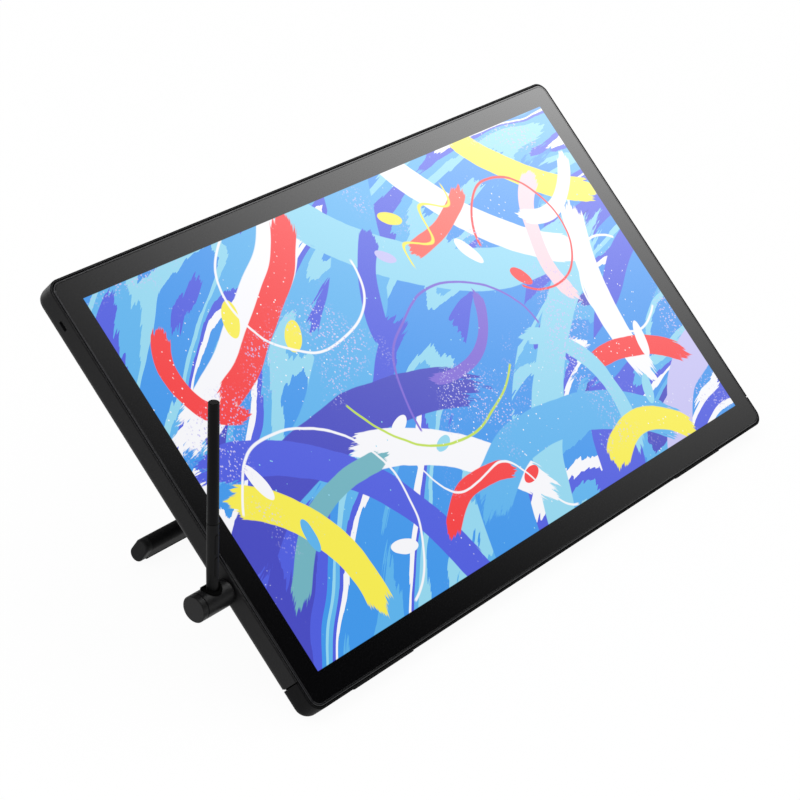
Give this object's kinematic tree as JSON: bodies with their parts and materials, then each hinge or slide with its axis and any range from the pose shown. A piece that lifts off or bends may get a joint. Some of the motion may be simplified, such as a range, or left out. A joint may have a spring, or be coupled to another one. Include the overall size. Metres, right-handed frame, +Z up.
{
  "type": "graphics tablet with screen",
  "caption": "Pen display: a glass-fronted slab leaning on a folding rear stand, with a pen standing in a holder on its left side.",
  "frame": {"origin": "on the table, at mid-width, under the middle of the stand's foot strip", "axes": "+X to the user's right along the slab's width, +Y away from the user, +Z up"},
  "size_m": [0.6004, 0.2575, 0.257],
  "materials": {
    "cover_glass": "etched",
    "rim_black": "satin",
    "screen_panel": "lit screen",
    "white_sheet": "satin",
    "board": "solder mask",
    "bare_steel": "satin",
    "bare_aluminium": "satin",
    "screw_steel": "satin",
    "screw_black": "satin",
    "flat_cable": "matte",
    "socket_steel": "satin",
    "socket_plastic": "matte",
    "case_black": "fine grain",
    "rail_black": "soft coat",
    "foot_rubber": "matte",
    "insert_brass": "satin",
    "key_black": "satin",
    "stand_black": "fine grain",
    "cap_black": "satin",
    "holder_black": "satin",
    "pen_grip": "soft coat",
    "pen_black": "matte",
    "coil_core": "matte",
    "nib_grey": "matte",
    "pen_key": "satin"
  },
  "bodies": {
    "display": {"cover_glass": "cover_glass", "front_frame": "rim_black", "lcd_panel": "screen_panel", "diffuser_sheet": "white_sheet", "light_guide": "white_sheet", "light_strip": "board", "backlight_tray": "bare_steel", "sensor_board": "board", "shield_plate": "bare_aluminium", "main_board": "board", "driver_board": "board", "board_screws": "screw_steel", "display_cable": "flat_cable", "light_cable": "flat_cable", "video_socket": "socket_steel", "data_sockets": "socket_steel", "power_socket": "socket_plastic", "sound_socket": "socket_plastic", "rear_cover": "case_black", "bottom_rail": "rail_black", "rail_feet": "foot_rubber", "cover_screws": "screw_black", "rail_screws": "screw_black", "arm_inserts": "insert_brass", "lock_plate": "bare_steel", "button_board": "board", "holder_bush": "bare_steel", "hinge_bracket_left": "stand_black", "hinge_bracket_right": "stand_black", "bracket_screws": "screw_black", "hinge_pins": "screw_steel", "friction_washers": "screw_steel"},
    "stand": {"stand_arm_left": "stand_black", "stand_arm_right": "stand_black", "foot_bar": "stand_black", "foot_cap_left": "cap_black", "foot_cap_right": "cap_black", "foot_strip": "foot_rubber", "arm_screws": "screw_black"},
    "holder": {"holder_body": "holder_black", "holder_cap": "holder_black", "holder_liner": "foot_rubber", "holder_spindle": "screw_steel", "holder_clip": "screw_steel"},
    "pen": {"pen_grip": "pen_grip", "pen_barrel": "pen_black", "pen_tail": "pen_black", "pen_coil": "coil_core", "pen_board": "board"},
    "nib": {"pen_nib": "nib_grey"},
    "lower_switch": {"pen_button_lower": "pen_key"},
    "upper_switch": {"pen_button_upper": "pen_key"},
    "power_key": {"power_button": "key_black"},
    "brighter_key": {"brighter_button": "key_black"},
    "dimmer_key": {"dimmer_button": "key_black"}
  },
  "joints": [
    {"name": "stand_hinge", "type": "hinge", "parent": "display", "child": "stand", "pos_m": [0, -0.09477, 0.13617], "axis": [1, 0, 0], "range_deg": [-79.8, 55.2]},
    {"name": "holder_swivel", "type": "hinge", "parent": "display", "child": "holder", "pos_m": [-0.28423, -0.17411, 0.07735], "axis": [1, 0, 0], "range_deg": [-45, 45]},
    {"name": "pen_slide", "type": "slide", "parent": "holder", "child": "pen", "axis": [0, -0.0559, 0.9984], "range_m": [0, 0.06]},
    {"name": "nib_press", "type": "slide", "parent": "pen", "child": "nib", "axis": [0, -0.0559, 0.9984], "range_m": [0, 0.0003], "stiffness_N_per_m": 1500},
    {"name": "lower_switch_press", "type": "slide", "parent": "pen", "child": "lower_switch", "axis": [0, 0.9984, 0.0559], "range_m": [0, 0.00025], "stiffness_N_per_m": 1500},
    {"name": "upper_switch_press", "type": "slide", "parent": "pen", "child": "upper_switch", "axis": [0, 0.9984, 0.0559], "range_m": [0, 0.00025], "stiffness_N_per_m": 1500},
    {"name": "power_press", "type": "slide", "parent": "display", "child": "power_key", "axis": [0, -0.6896, -0.7242], "range_m": [0, 0.0005], "stiffness_N_per_m": 1200},
    {"name": "brighter_press", "type": "slide", "parent": "display", "child": "brighter_key", "axis": [0, -0.6896, -0.7242], "range_m": [0, 0.0005], "stiffness_N_per_m": 1200},
    {"name": "dimmer_press", "type": "slide", "parent": "display", "child": "dimmer_key", "axis": [0, -0.6896, -0.7242], "range_m": [0, 0.0005], "stiffness_N_per_m": 1200}
  ]
}
